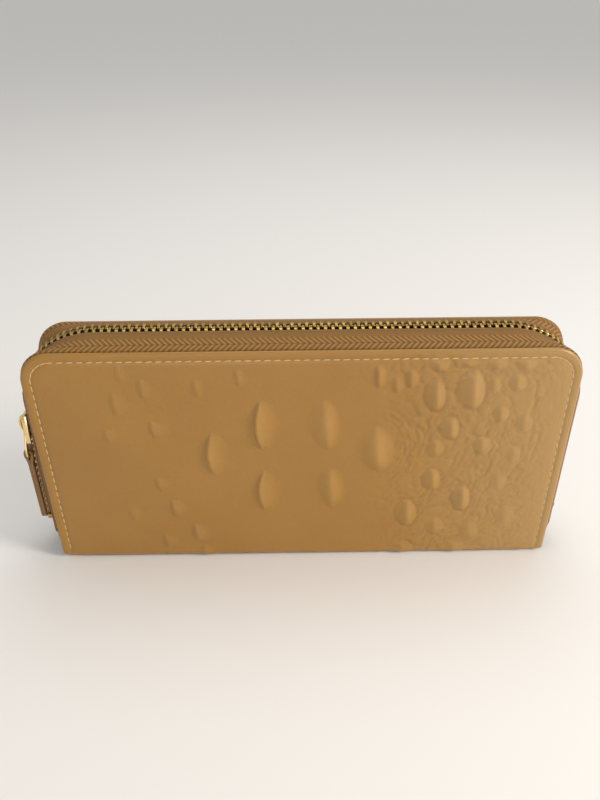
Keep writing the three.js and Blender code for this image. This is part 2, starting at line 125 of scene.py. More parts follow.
# a tube of an oval section along a line of points; wide lies along the given axis
def tube(line, wide, thick, axis, closed=False, around=10):
    count = len(line)

    def place(i, turn):
        if closed:
            i %= count
            before, after = line[i - 1], line[(i + 1) % count]
        else:
            before, after = line[max(i - 1, 0)], line[min(i + 1, count - 1)]
        other = (after - before).normalized().cross(axis).normalized()
        return line[i] + axis * wide * cos(turn) + other * thick * sin(turn)

    return gridMesh(range(count + closed), spread(0, tau, around), place)


class Wire:  # an output socket, so that shader maths reads as plain sums
    def __init__(self, finish, out):
        self.finish, self.out = finish, out

    def sum(self, operation, a, b=0.0):
        return self.finish.node("Math", {"operation": operation}, {0: a, 1: b})

    def __add__(self, other):
        return self.sum("ADD", self, other)

    def __sub__(self, other):
        return self.sum("SUBTRACT", self, other)

    def __rsub__(self, other):
        return self.sum("SUBTRACT", other, self)

    def __mul__(self, other):
        return self.sum("MULTIPLY", self, other)

    def __truediv__(self, other):
        return self.sum("DIVIDE", self, other)

    __radd__ = __add__

    def sine(self):
        return self.sum("SINE", self)

    def step(self, low, high):
        settings = {"interpolation_type": "SMOOTHSTEP"}
        return self.finish.node("MapRange", settings, {0: self, 1: low, 2: high})


def meshOf(bm, name):
    mesh = bpy.data.meshes.new(name)
    bm.to_mesh(mesh)
    bm.free()
    return mesh


def addObject(name, data):
    made = bpy.data.objects.new(name, data)
    bpy.context.scene.collection.objects.link(made)
    return made


class Finish:  # a material and its shader
    def __init__(self, name, color, **sockets):
        self.material = bpy.data.materials.new(name)
        self.material.use_nodes = True
        self.tree = self.material.node_tree
        self.shader = self.tree.nodes["Principled BSDF"]
        self.shader.inputs["Base Color"].default_value = (*color, 1)
        for socket, value in sockets.items():
            self.shader.inputs[socket.replace("_", " ")].default_value = value

    def node(self, kind, settings=None, sockets=None, out=0):
        made = self.tree.nodes.new("ShaderNode" + kind)
        for key, value in (settings or {}).items():
            setattr(made, key, value)
        for key, value in (sockets or {}).items():
            if isinstance(value, Wire):
                self.tree.links.new(value.out, made.inputs[key])
            else:
                made.inputs[key].default_value = value
        return Wire(self, made.outputs[out])

    def place(self, stretch=(1, 1, 1), source="Object"):
        spot = self.node("TexCoord", out=source)
        return self.node("Mapping", {}, {"Vector": spot, "Scale": stretch})

    def split(self, wire):
        return [self.node("SeparateXYZ", {}, {0: wire}, out) for out in range(3)]

    def gather(self, x, y):
        return self.node("CombineXYZ", {}, {0: x, 1: y})

    def noise(self, place, scale, detail=3, rough=0.5):
        sockets = {"Vector": place, "Scale": scale, "Detail": detail, "Roughness": rough}
        return self.node("TexNoise", {}, sockets)

    def cells(self, place, scale):  # 0 on the lines between cells
        return self.node("TexVoronoi", {"feature": "DISTANCE_TO_EDGE"}, {"Vector": place, "Scale": scale})

    def mix(self, share, a, b):
        paint = [(*c, 1) if isinstance(c, tuple) else c for c in (a, b)]
        return self.node("Mix", {"data_type": "RGBA"}, {0: share, 6: paint[0], 7: paint[1]}, 2)

    def feed(self, socket, wire):
        self.tree.links.new(wire.out, self.shader.inputs[socket])

    def bump(self, height, depth):
        self.feed("Normal", self.node("Bump", {}, {"Height": height, "Distance": depth}))


def finishPiece(bm, name, finish, shade=True, doubles=0.0, outward=False):
    if doubles:
        bmesh.ops.remove_doubles(bm, verts=bm.verts, dist=doubles)
    if outward:
        bmesh.ops.recalc_face_normals(bm, faces=bm.faces)
    mesh = meshOf(bm, name)
    mesh.materials.append(finish.material)
    for face in mesh.polygons:
        face.use_smooth = shade
    piece = addObject(name, mesh)
    return piece


def thicken(piece, amount):
    thick = piece.modifiers.new("thickness", "SOLIDIFY")
    thick.thickness, thick.offset = amount, 0


def pick(geometry, kind):
    return [g for g in geometry if isinstance(g, kind)]


# the covers' leather: pale and deep for its mottled colour, deep again as painted shade in the hollows, a
# painted highlight on the crests and a painted sheen towards the right end
leatherLook = {
    "pale": (0.405, 0.198, 0.021), "deep": (0.26, 0.112, 0.008), "crestHighlight": (0.52, 0.29, 0.065),
    # painted sheen: the next colour and its two bounds paint a reflection that grows towards the right end
    "paintedSheen": (0.46, 0.28, 0.095), "paintedSheenFrom": 0.02, "paintedSheenTo": 0.10,
    "rough": 0.35, "grain": 0.09 * mm, "coat": 0.40, "coatRough": 0.28,
}


def embossedLeather():
    look = leatherLook
    finish = Finish("embossedLeather", look["pale"], Roughness=look["rough"], Coat_Weight=look["coat"],
                    Coat_Roughness=look["coatRough"])
    spot = finish.place(source="UV")
    relief = finish.node("Attribute", {"attribute_name": "relief"}, out="Fac")
    cloud = finish.noise(spot, 28, 3, 0.55)
    blotch = finish.noise(spot, 9, 2, 0.5)
    grain = finish.cells(spot, 1900)
    crease = finish.cells(finish.place((1, 1.5, 1), "UV"), 620)
    body = finish.mix(cloud * 0.5 + blotch * 0.35, look["pale"], look["deep"])
    # painted shade: the embossing's hollows are darkened towards the deep colour
    shaded = finish.mix((0.46 - relief) * 2.2, body, look["deep"])
    # painted highlight: the raised crests are lightened towards the bright crest colour
    crest = finish.mix((relief - 0.55) * 0.75, shaded, look["crestHighlight"])
    # painted sheen: a paler, pinker reflection colour blended in towards the right end
    sheenShare = finish.split(spot)[0].step(look["paintedSheenFrom"], look["paintedSheenTo"])
    finish.feed("Base Color", finish.mix(sheenShare * 0.55, crest, look["paintedSheen"]))
    finish.feed("Roughness", look["rough"] - 0.06 + cloud * 0.16 - (relief - 0.5) * 0.1)
    pores = grain.step(0.0, 0.16) * 0.45 + crease.step(0.0, 0.1) * 0.3 + finish.noise(spot, 900, 2) * 0.5
    finish.bump(pores, look["grain"])
    return finish


def smoothLeather(name, pale, deep, rough=0.5):
    finish = Finish(name, pale, Roughness=rough, Coat_Weight=0.08, Coat_Roughness=0.35)
    spot = finish.place()
    cloud = finish.noise(spot, 60, 4, 0.6)
    grain = finish.cells(spot, 1700)
    finish.feed("Base Color", finish.mix(cloud, pale, deep))
    finish.feed("Roughness", rough - 0.08 + cloud * 0.2)
    finish.bump(grain.step(0.0, 0.2) * 0.5 + finish.noise(spot, 800, 2) * 0.4, 0.07 * mm)
    return finish


def threadFinish(name, pale, deep):
    finish = Finish(name, pale, Roughness=0.6)
    spot = finish.place()
    twist = finish.noise(spot, 2600, 2)
    finish.feed("Base Color", finish.mix(twist, pale, deep))
    finish.bump(twist, 0.08 * mm)
    return finish


# the tape's weave, in millimetres from the chain: where the ribs meet, how wide a column of them is, how far
# apart they are, where the plain weave ends, and how far apart its threads are
weave = {"apex": 9.0, "column": 2.6, "pitch": 2.0, "plain": 6.3, "blend": 0.4, "thread": 0.7}


# UV runs along the tape and across it from the chain, in metres
def herringbone():
    pale, deep, line = (0.37, 0.185, 0.046), (0.165, 0.077, 0.012), (0.11, 0.048, 0.008)
    finish = Finish("herringboneTape", pale, Roughness=0.85)
    along, across, _ = finish.split(finish.place((1000, 1000, 1), "UV"))
    fold = across.sum("PINGPONG", (across - weave["apex"]) / weave["column"], 1.0)  # 0 at an apex line
    ribs = ((along + fold * weave["column"]) / weave["pitch"] * tau).sine() * 0.5 + 0.5
    ribbed = across.step(weave["plain"] - weave["blend"], weave["plain"] + weave["blend"])
    apex = (1 - fold.step(0.0, 0.08)) * ribbed
    threads = [(way / weave["thread"] * tau).sine() for way in (along, across)]
    dots = threads[0] * threads[1] * 0.4 + 0.35
    fuzz = finish.noise(finish.gather(along, across), 4, 3)
    ribs = ribs.step(0.35, 0.8) * ribbed + (1 - ribbed) * dots
    body = finish.mix(ribs * 0.8 + fuzz * 0.3, deep, pale)
    finish.feed("Base Color", finish.mix(apex * 0.6, body, line))
    finish.bump(ribs + fuzz * 0.35 - apex * 0.6, 0.3 * mm)
    return finish


def metal(name, pale, deep, rough):
    finish = Finish(name, pale, Metallic=1.0, Roughness=rough)
    spot = finish.place()
    wear = finish.noise(spot, 420, 4, 0.6)
    finish.feed("Base Color", finish.mix(wear.step(0.35, 0.7), pale, deep))
    finish.feed("Roughness", rough - 0.08 + wear * 0.2)
    finish.bump(finish.noise(spot, 1500, 2), 0.02 * mm)
    return finish


embossed = embossedLeather()
tabLeather = smoothLeather("tabLeather", (0.30, 0.155, 0.052), (0.20, 0.095, 0.030))
trimLeather = smoothLeather("trimLeather", (0.38, 0.20, 0.045), (0.27, 0.13, 0.022))
cordCloth = smoothLeather("cordCloth", (0.30, 0.16, 0.065), (0.20, 0.10, 0.038), 0.85)
thread = threadFinish("goldThread", (0.76, 0.54, 0.26), (0.50, 0.31, 0.12))
tapeCloth = herringbone()
chainBrass = metal("antiqueBrass", (0.64, 0.43, 0.13), (0.30, 0.18, 0.042), 0.34)
paleGold = metal("paleGold", (0.93, 0.72, 0.38), (0.84, 0.61, 0.27), 0.16)
print("finishes ready")

# the camera: its place in millimetres, its turns in degrees and its lens
shot = {"place": (-2.05, -224.6, 209.0), "down": 32.4, "roll": 0.5, "yaw": -0.34, "lens": 32.0}


def makeCamera():
    data = bpy.data.cameras.new("shotCamera")
    data.lens, data.sensor_width, data.clip_start = shot["lens"], 36, 0.01
    camera = addObject("shotCamera", data)
    level = Matrix.Rotation(radians(90), 4, "X")  # looking along +Y
    turn = (Matrix.Rotation(radians(shot["yaw"]), 4, "Z")
            @ Matrix.Rotation(-radians(shot["down"]), 4, "X")
            @ Matrix.Rotation(radians(shot["roll"]), 4, "Y"))
    camera.matrix_world = Matrix.Translation(Vector(shot["place"]) * mm) @ turn @ level
    bpy.context.scene.camera = camera


def areaLight(name, place, target, size, watts, color):
    data = bpy.data.lights.new(name, "AREA")
    data.shape, data.size, data.energy, data.color = "DISK", size, watts, color
    lamp = addObject(name, data)
    lamp.location = place
    lamp.rotation_euler = (Vector(target) - Vector(place)).to_track_quat("-Z", "Y").to_euler()


# the table, and the light from all round it: dimmer from the left, brighter from the right
room = {
    "table": (0.83, 0.80, 0.76), "reach": 25, "left": (0.76, 0.77, 0.78), "right": (0.98, 0.96, 0.93),
    "strength": 0.72,
}


def makeStage():
    bm = bmesh.new()
    bmesh.ops.create_grid(bm, x_segments=2, y_segments=2, size=room["reach"])
    paper = Finish("paleTable", room["table"], Roughness=0.6)
    paper.bump(paper.noise(paper.place(), 60, 3), 0.05 * mm)
    mesh = meshOf(bm, "paleTable")
    mesh.materials.append(paper.material)
    table = addObject("paleTable", mesh)
    world = bpy.data.worlds.new("studio")
    world.use_nodes = True
    nodes, links = world.node_tree.nodes, world.node_tree.links
    spot, ramp = nodes.new("ShaderNodeTexCoord"), nodes.new("ShaderNodeValToRGB")
    parts = nodes.new("ShaderNodeSeparateXYZ")
    ramp.color_ramp.elements[0].color = (*room["left"], 1)
    ramp.color_ramp.elements[1].color = (*room["right"], 1)
    links.new(spot.outputs["Generated"], parts.inputs[0])
    links.new(parts.outputs["X"], ramp.inputs["Fac"])
    links.new(ramp.outputs["Color"], nodes["Background"].inputs["Color"])
    nodes["Background"].inputs["Strength"].default_value = room["strength"]
    bpy.context.scene.world = world
    areaLight("keyLight", (0.80, -0.30, 0.50), (0, 0, 0.05), 0.3, 6.2, (1, 0.96, 0.90))
    areaLight("lowLight", (-0.10, -0.90, 0.16), (0, 0, 0.03), 0.5, 1.5, (1, 0.98, 0.95))
    areaLight("skyLight", (0.05, 0.30, 0.9), (0, 0, 0.05), 0.6, 2.0, (0.98, 0.98, 1))
    bpy.context.scene.view_settings.view_transform = "Standard"


makeCamera()
makeStage()
print("camera and stage set")

# plates of the front cover's embossing in millimetres: middle x and z, half width, half height, rise, and how
# far the crest leans to the left (-) or right, as a share of the half width
frontPlates = [
    (-31.6, 51.5, 4.4, 9.5, 1.15, -0.7), (-13.2, 64, 4.7, 10.8, 1.25, -0.7), (7.4, 64, 6.4, 10.8, 1.1, 0.22),
    (-13.4, 34, 4.5, 9.4, 1.05, -0.65), (10.6, 35, 5.6, 9.4, 1, 0.02), (26.6, 53, 7.2, 10.2, 1.35, 0.14),
    (59, 78, 5, 8, 1.1, 0.25), (46.5, 76, 3.9, 6.6, 1, 0.25), (53, 62, 3.7, 5, 0.9, 0.3),
    (48.5, 38.5, 3.5, 5.2, 0.85, 0.25), (60.8, 29, 3.7, 6.2, 1, 0.25), (40, 22, 4.3, 6.6, 1, 0.2),
    (49, 53, 3.1, 3.8, 0.55, 0), (66, 54, 3.3, 4.1, 0.55, 0), (71, 68, 3, 3.6, 0.6, 0),
    (75, 81, 3.2, 3.5, 0.6, 0), (27, 84, 2.3, 4.6, 0.7, -0.2), (33, 81, 2.4, 3.4, 0.5, 0),
    (38, 83, 2.5, 3.6, 0.6, 0), (47, 89, 3.6, 3.4, 0.6, 0), (57, 90, 3.8, 3, 0.5, 0),
    (67, 89, 3.8, 3.2, 0.5, 0), (77, 89, 3.6, 3.2, 0.5, 0), (67, 80, 2.4, 3.2, 0.45, 0),
    (78, 50, 3, 3.6, 0.4, 0), (74, 37, 3.4, 4, 0.45, 0), (80, 64, 3, 3.8, 0.4, 0),
    (52, 15, 3.6, 4.2, 0.5, 0), (66, 13, 3.8, 4.2, 0.45, 0), (79, 20, 3.8, 5, 0.4, 0),
    (40, 3, 4.4, 3.4, 0.5, 0), (61, 3, 4.2, 3.2, 0.45, 0), (-39, 3, 4.2, 3.4, 0.5, 0),
    (-65, 74, 3.8, 5, 0.4, -0.3), (-52, 63, 3.8, 3.6, 0.45, -0.5), (-69, 60, 4.2, 3.4, 0.35, -0.4),
    (-53, 38, 3.6, 3.4, 0.4, -0.4), (-48, 26, 3.8, 4.4, 0.55, -0.5), (-40, 13, 4.2, 4.6, 0.6, -0.5),
    (-53, 9, 3.6, 3.4, 0.45, -0.4), (-65, 23, 3.8, 3.6, 0.3, -0.3), (-55, 80, 3, 4.2, 0.4, -0.2),
    (-63, 86, 3.4, 3.4, 0.3, 0), (-37, 80, 2.8, 3.8, 0.35, 0), (-22, 84, 2.4, 3.4, 0.35, 0),
]
# plates: how they are raised; web and fine: creases between cells; folds and rings: round the hub plate
emboss = {
    "stitchInset": 3.4 * mm, "stitchDip": 0.3 * mm, "puff": 0.45 * mm, "puffReach": 5 * mm, "border": 0.16 * mm,
    "lift": 1.18, "steepLean": -0.5, "curl": 0.35, "slant": 0.12, "round": 0.035, "grooveDepth": 0.20,
    "webDepth": 0.17, "webCell": 5.4, "fineDepth": 0.07, "fineCell": 2.3, "foldDepth": 0.26, "foldHub": 27,
    "ringDepth": 0.16, "ringGap": 0.24, "hub": (27.5, 53), "hubHalf": (7.6, 10.4),
}


def platesFor(hand):  # the back cover wears the front's plates mirrored and a little moved
    if hand < 0:
        return frontPlates
    draw = random.Random(11)
    return [(-x + draw.uniform(-3, 3), z + draw.uniform(-2, 2), wide, tall, rise, -lean)
            for x, z, wide, tall, rise, lean in frontPlates]


# a plate's height at a point and how far the point counts as on it: it climbs from its left edge to a crest and
# falls away to the right, and the upright bumps of the right end sit in a fine groove
def plateHeight(x, z, plate):
    middleX, middleZ, halfWide, halfTall, rise, lean = plate
    v = (z - middleZ) / halfTall
    if abs(v) > 1.4:
        return 0.0, 0.0
    bow = sqrt(max(1 - v * v, 0.0001))
    steep = lean < emboss["steepLean"]  # a narrow wall on the left, otherwise a long concave climb
    bend = emboss["curl"] * halfWide * v * v if steep else -emboss["slant"] * v * halfWide
    crest = middleX + lean * halfWide + bend
    reach = halfWide * (1 + lean) if x < crest else halfWide * (1 - lean)
    u = (x - crest) / reach
    if abs(u) > 2:
        return 0.0, 0.0
    share = min(abs(u) / bow, 1)
    if not steep:  # the crest is a little rounded
        soft, flat = emboss["round"], sqrt(emboss["round"])
        share = min((sqrt(share * share + soft) - flat) / (1 + 0.5 * soft - flat), 1)
    if u > 0:
        profile = (1 - share) ** 1.25
    else:
        profile = 1 - smooth(0, 1, share) if steep else (1 - share) ** 2
    away = hypot(u, v)
    taper = (1 - min(abs(v), 1) ** 2.4) ** 0.8
    grooved = halfWide < 5.1 and lean >= 0 and rise > 0.5
    groove = emboss["grooveDepth"] * exp(-((away - 1.06) / 0.12) ** 2) if grooved else 0
    return emboss["lift"] * rise * (taper * profile - groove), 1 - smooth(0.75, 1.1, away)


# height of the embossing at a point given in millimetres
def embossHeight(x, z, plates, hand):
    towards = -x if hand > 0 else x
    height, onPlate = 0.0, 0.0
    for plate in plates:
        rise, cover = plateHeight(x, z, plate)
        height += rise
        onPlate = max(onPlate, cover)
    hubX, hubZ = emboss["hub"]
    web = smooth(16, 46, towards) * (1 - 0.75 * smooth(82, 93, towards))  # where the creases are, mostly right
    web += 0.3 * smooth(70, 92, z) * smooth(-5, 25, towards)  # and faintly along the top
    if web > 0.02:
        drift = noise.noise_vector(Vector((x, z, hand * 9)) * 0.11) * 3.0
        spot = Vector((x * 0.82 + z * 0.5, z * 0.72 - x * 0.38, hand * 7)) + drift
        near = noise.voronoi(spot / emboss["webCell"])[0]
        fine = noise.voronoi(spot / emboss["fineCell"] + Vector((3, 5, 0)))[0]
        crease = 1 - smooth(0.0, 0.22, near[1] - near[0])
        fineCrease = 1 - smooth(0.0, 0.2, fine[1] - fine[0])
        web *= 1 - onPlate
        height -= web * (crease * emboss["webDepth"] + fineCrease * emboss["fineDepth"])
        away = hypot(towards - emboss["foldHub"], z - hubZ)
        turn = atan2(z - hubZ, towards - emboss["foldHub"])
        drift = noiseAt(x, z, 3, 0.09) * 3.5
        wave = noiseAt(away * 0.36 + drift, turn * 2.2 + drift * 0.6, hand * 3)
        height -= web * emboss["foldDepth"] * (1 - smooth(0.0, 0.16, abs(wave)))
    hub = hypot((towards - hubX) / emboss["hubHalf"][0], (z - hubZ) / emboss["hubHalf"][1])
    if 1 < hub < 2.6:
        ripple = noiseAt(x, z, 2, 0.15) * 2
        ring = 0.5 + 0.5 * cos((hub - 1.05) / emboss["ringGap"] * tau + ripple)
        ring *= smooth(1, 1.15, hub) * (1 - smooth(1.5, 2.5, hub)) * smooth(22, 34, towards)
        height -= emboss["ringDepth"] * ring
    height += 0.10 * noiseAt(x, z, hand * 4, 0.07)
    height += 0.035 * noiseAt(x, z, hand * 5, 0.45)
    return height


# the outer face and the way in from it: along the spine's underside, round the fold and up the cover
def skinPoint(hand, x, s):
    if s < hingeHalf:
        return Vector((x, hand * s, 0)), Vector((0, 0, 1))
    if s < foldEnd:
        turn = (s - hingeHalf) / foldRadius
        inward = Vector((0, -hand * sin(turn), cos(turn)))
        return Vector((x, hand * hingeHalf, foldRadius)) - inward * foldRadius, inward
    return Vector((x, hand * half, foldRadius + s - foldEnd)), Vector((0, -hand, 0))


# how far the finished leather stands out from the plain face, and the embossing's share of that
def faceLift(hand, x, z, plates):
    inset, seam = edgeFrame(x, z)[1], emboss["stitchInset"]
    puff = emboss["puff"] * (1 - exp(-max(inset - seam, 0) / emboss["puffReach"]))
    border = emboss["border"] * sin(min(max(inset / seam, 0), 1) * pi)
    dip = exp(-((inset - seam) / (0.55 * mm)) ** 2) * smooth(0, 6 * mm, z)
    pressed = embossHeight(x / mm, z / mm, plates, hand) * mm
    shown = 0.25 * smooth(0.6 * mm, 2 * mm, inset) + 0.75 * smooth(3.2 * mm, 5.4 * mm, inset)
    return puff + border - emboss["stitchDip"] * dip + pressed * shown, pressed


coverSkin = {"cell": 0.56 * mm, "rimSteps": 7, "spineDepth": 1.1 * mm, "footRound": 2.6 * mm}


def coverLeather(hand):
    rimRadius, footRound = rimDepth / 2, coverSkin["footRound"]
    reach = side - rimRadius
    length = foldEnd + coverTop - foldRadius - rimRadius
    columns, rows = round(2 * reach / coverSkin["cell"]), round(length / coverSkin["cell"])
    plates = platesFor(hand)
    bm = bmesh.new()
    bmesh.ops.create_grid(bm, x_segments=columns, y_segments=rows, size=1)
    reliefLayer = bm.verts.layers.float.new("relief")
    uvLayer = bm.loops.layers.uv.new("UVMap")
    footSum = -1.9999  # an edge whose two ends add up to less lies on the spine's middle line
    rimEdges = [e for e in bm.edges if e.is_boundary and sum(v.co.y for v in e.verts) > footSum]
    rimRoots, flat = {}, {}
    onRim = {v for e in rimEdges for v in e.verts}
    faceRadius = cornerRadius - rimRadius
    for v in bm.verts:
        x, s = v.co.x * reach, (v.co.y + 1) / 2 * length
        z = s - foldEnd + foldRadius
        a, b = (abs(x) - side + cornerRadius) / faceRadius, (z - shoulder) / faceRadius
        if a > 0 and b > 0:  # the corner's square of the grid is drawn into its quarter round
            ring = max(a, b)
            turn = b / a * pi / 4 if a > b else pi / 2 - a / b * pi / 4
            x = copysign(side - cornerRadius + faceRadius * ring * cos(turn), x)
            z = shoulder + faceRadius * ring * sin(turn)
            s = z + foldEnd - foldRadius
        flat[v] = x, s
        point, inward = skinPoint(hand, x, s)
        foot = max(footRound - point.z, 0)
        point.x *= 1 - (footRound - sqrt(footRound ** 2 - foot ** 2)) / side
        lift, pressed = faceLift(hand, x, z, plates) if z > 0 else (0, 0)
        v[reliefLayer] = 0.5 + 0.4 * pressed / mm
        point -= inward * lift * smooth(0.2 * mm, 2.2 * mm, point.z)
        if v in onRim:
            outward = edgeFrame(x, z)[0] if z > foldRadius else Vector((copysign(1, x), 0, 0))
            thin = coverSkin["spineDepth"]
            deep = thin + (rimDepth - thin) * smooth(0, foldRadius, z)
            rimRoots[v] = point.copy(), outward, inward, deep / 2
        v.co = point
    rim = onRim
    for step in range(1, coverSkin["rimSteps"] + 1):
        turn = step / coverSkin["rimSteps"] * pi
        made = bmesh.ops.extrude_edge_only(bm, edges=rimEdges)["geom"]
        fresh = set(pick(made, bmesh.types.BMVert))
        rimEdges = [e for e in pick(made, bmesh.types.BMEdge) if all(v in fresh for v in e.verts)]
        for v in fresh:
            root = next(e.other_vert(v) for e in v.link_edges if e.other_vert(v) in rim)
            rimRoots[v], flat[v], v[reliefLayer] = rimRoots[root], flat[root], 0.5
            point, outward, inward, radius = rimRoots[v]
            v.co = point + outward * radius * sin(turn) + inward * radius * (1 - cos(turn))
        rim = fresh
    for face in bm.faces:
        for loop in face.loops:
            x, s = flat[loop.vert]
            away = rimRoots[loop.vert][0] - loop.vert.co if loop.vert in rimRoots else Vector()
            loop[uvLayer].uv = x + copysign(away.length, x), s + away.length * (s > length - cornerRadius)
    level = [[v for v in rim if v.co.z < shoulder and v.co.x * way > 0] for way in (-1, 1)]
    kept = {v for group in level for v in group}
    bmesh.ops.bridge_loops(bm, edges=[e for e in rimEdges if all(v in kept for v in e.verts)])
    bmesh.ops.holes_fill(bm, edges=[e for e in bm.edges if e.is_boundary], sides=0)
    piece = finishPiece(bm, sideName[hand] + "Leather", embossed, outward=True)
    name = sideName[hand]
    spine = ["spine_leather"] if hand < 0 else []
    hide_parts(f"{name}_cover_leather", f"{name}_fold_leather", *spine)
    start, end = (0, hand * (hingeHalf - 0.3 * mm), 0), (0, hand * half, foldRadius)
    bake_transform(piece)
    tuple(start)
    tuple(end)


stitch = {"length": 2.5 * mm, "pitch": 3.35 * mm, "thick": 0.5 * mm, "lift": 0.05 * mm, "foot": 6 * mm}


def stitchShape(length, thick):
    bm = bmesh.new()
    bmesh.ops.create_uvsphere(bm, u_segments=8, v_segments=5, radius=1)
    for v in bm.verts:
        v.co.z = copysign(abs(v.co.z) ** 0.6, v.co.z)
    bmesh.ops.transform(bm, matrix=Matrix.Diagonal((thick / 2, thick * 0.42, length / 2, 1)), verts=bm.verts)
    return meshOf(bm, "stitchShape")


# one more copy of a small shape
def addCopy(bm, mesh, matrix):
    before = len(bm.verts)
    bm.from_mesh(mesh)
    bm.verts.ensure_lookup_table()
    bmesh.ops.transform(bm, matrix=matrix, verts=bm.verts[before:])


# stitches at points that each have a way along and a way out
def flatStitches(name, points, size, body):
    bm = bmesh.new()
    shape = stitchShape(*size)
    for spot, along, out in points:
        basis = Matrix((along.cross(out), out, along)).transposed().to_4x4()
        addCopy(bm, shape, Matrix.Translation(spot) @ basis)
    piece = finishPiece(bm, name, thread, outward=True)
    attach(piece, body)


# the point at a distance along the covers' edge, an inset inside it, and the way along
def edgePlace(distance, inset):
    mirrored = distance > edgeLength / 2
    d = edgeLength - distance if mirrored else distance
    if d < shoulder:
        x, z, turn = -side + inset, d, 0.0
    elif d < shoulder + cornerLength:
        turn = (d - shoulder) / cornerRadius
        x = -cornerX - (cornerRadius - inset) * cos(turn)
        z = shoulder + (cornerRadius - inset) * sin(turn)
    else:
        x, z, turn = -cornerX + d - shoulder - cornerLength, coverTop - inset, pi / 2
    if mirrored:
        return Vector((-x, 0, z)), Vector((-sin(turn), 0, cos(turn)))
    return Vector((x, 0, z)), Vector((sin(turn), 0, cos(turn)))


def coverStitches(hand):
    shape = stitchShape(stitch["length"], stitch["thick"])
    plates = platesFor(hand)
    bm = bmesh.new()
    seam = edgeLength - 2 * stitch["foot"]
    count = int(seam / stitch["pitch"])
    draw = random.Random(5 + hand)
    for i in range(count + 1):
        spot, along = edgePlace(stitch["foot"] + i * seam / count, emboss["stitchInset"])
        lift = faceLift(hand, spot.x, spot.z, plates)[0]
        spot.y = hand * (half + lift + stitch["lift"])
        out = Vector((0, hand, 0))
        across = along.cross(out)
        tilt = Matrix.Rotation(draw.uniform(-0.05, 0.05) + 0.06, 4, out)
        basis = Matrix((across, out, along)).transposed().to_4x4()
        addCopy(bm, shape, Matrix.Translation(spot) @ tilt @ basis)
    piece = finishPiece(bm, sideName[hand] + "Stitches", thread)
    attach(piece, sideName[hand] + "_cover")


for hand in (-1, 1):
    coverLeather(hand)
    coverStitches(hand)
print("covers made")


# how far each half of the chain has left the middle
def parting(x, z):
    if x > 0 or z > parted["head"]:
        return 0.0
    if z > sliderTail:
        return parted["atTail"] * (parted["head"] - z) / (parted["head"] - sliderTail)
    return parted["atTail"] + (parted["full"] - parted["atTail"]) * smooth(0, parted["run"], sliderTail - z)


# how far outside a point of the covers' edge the chain runs
def chainReach(place, outward):
    px, pz = (abs(place.x) - bendX) / bendWide, (place.z - bendZ) / bendTall
    if pz <= 0:
        return chainX - side
    if px <= 0:
        return chainTop - coverTop
    qx, qz = abs(outward.x) / bendWide, outward.z / bendTall
    a, b = qx * qx + qz * qz, px * qx + pz * qz
    return (sqrt(b * b - a * (px * px + pz * pz - 1)) - b) / a


# the tape's section: how far out it is as a share of the chain's reach, how far outside the edge besides, and
# its distance from the middle in millimetres
tape = {
    "foot": 9 * mm, "step": 1.6 * mm, "thick": 0.4 * mm, "waves": 0.88 * mm, "lean": 0.36, "sink": 1.0 * mm,
    "section": [
        (0, -6.3, 10.9), (0, -3, 10.9), (0, -0.5, 10.9), (0, 0.25, 10.7), (0.10, 0.25, 10.0), (0.26, 0.2, 9.1),
        (0.42, 0.15, 8.1), (0.57, 0.1, 7.1), (0.73, 0.05, 6.2), (0.88, 0, 5.4), (0.97, 0, 4.6), (1, 0, 3.8),
        (1, 0, 2.9)],
}


def zipTape(hand):
    topReach = chainTop - coverTop

    def place(k, distance):
        share, extra, across = tape["section"][k]
        spot, _ = edgePlace(distance, 0)
        outward = edgeFrame(spot.x, spot.z)[0]
        reach = chainReach(spot, outward)
        loose = smooth(0, 4 * mm, topReach - reach) * tape["waves"]
        ripple = noiseAt(distance * 160, hand, 0.3) * loose
        apart = parting(spot.x, spot.z)
        away = across * mm + apart * share
        flattest = reach - tape["sink"] if share == 1 else 0
        out = share * (reach + ripple) + extra * mm
        if share:  # pressed flat where the rows stand apart
            flat = max(min(out, tape["lean"] * (half - away)), flattest)
            out += (flat - out) * smooth(0, parted["atTail"], apart)
        return spot + outward * out + Vector((0, hand * away, 0))

    rows = spread(tape["foot"], edgeLength - tape["foot"], round(edgeLength / tape["step"]))
    bm = gridMesh(range(len(tape["section"])), rows, place)
    uvLayer = bm.loops.layers.uv.verify()
    run = [0.0]
    for (_, u, y), (_, v, w) in zip(tape["section"][::-1], tape["section"][-2::-1]):
        run.append(run[-1] + hypot(u - v, y - w) * mm)
    for face in bm.faces:
        for loop in face.loops:
            k, along = loop[uvLayer].uv
            loop[uvLayer].uv = along, run[len(run) - 1 - round(k)] + tape["section"][-1][2] * mm
    piece = finishPiece(bm, sideName[hand] + "Tape", tapeCloth, outward=True)
    thicken(piece, tape["thick"])
    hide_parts(sideName[hand] + "_zip_tape")
    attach(piece, sideName[hand] + "_cover")


# the chain's line as points in x and z, from the left foot of the tape to the right one
def chainLine():
    turns = spread(0, pi / 2, 24)
    bend = [(-bendX - bendWide * cos(a), bendZ + bendTall * sin(a)) for a in turns]
    left = [(-chainX, z) for z in spread(tape["foot"], bendZ - 2 * mm, 24)] + bend
    return left + [(-x, z) for x, z in reversed(left)]


chainPoints = chainLine()
chainRun = [0.0]
for (x, z), (u, w) in zip(chainPoints, chainPoints[1:]):
    chainRun.append(chainRun[-1] + hypot(u - x, w - z))


def trackPlace(distance):  # a place on the chain's line and the turn of its outward side
    i = max(min(bisect.bisect(chainRun, distance), len(chainRun) - 1), 1)
    (x, z), (u, w) = chainPoints[i - 1], chainPoints[i]
    share = (distance - chainRun[i - 1]) / (chainRun[i] - chainRun[i - 1])
    return Vector((x + (u - x) * share, 0, z + (w - z) * share)), atan2(u - x, w - z)


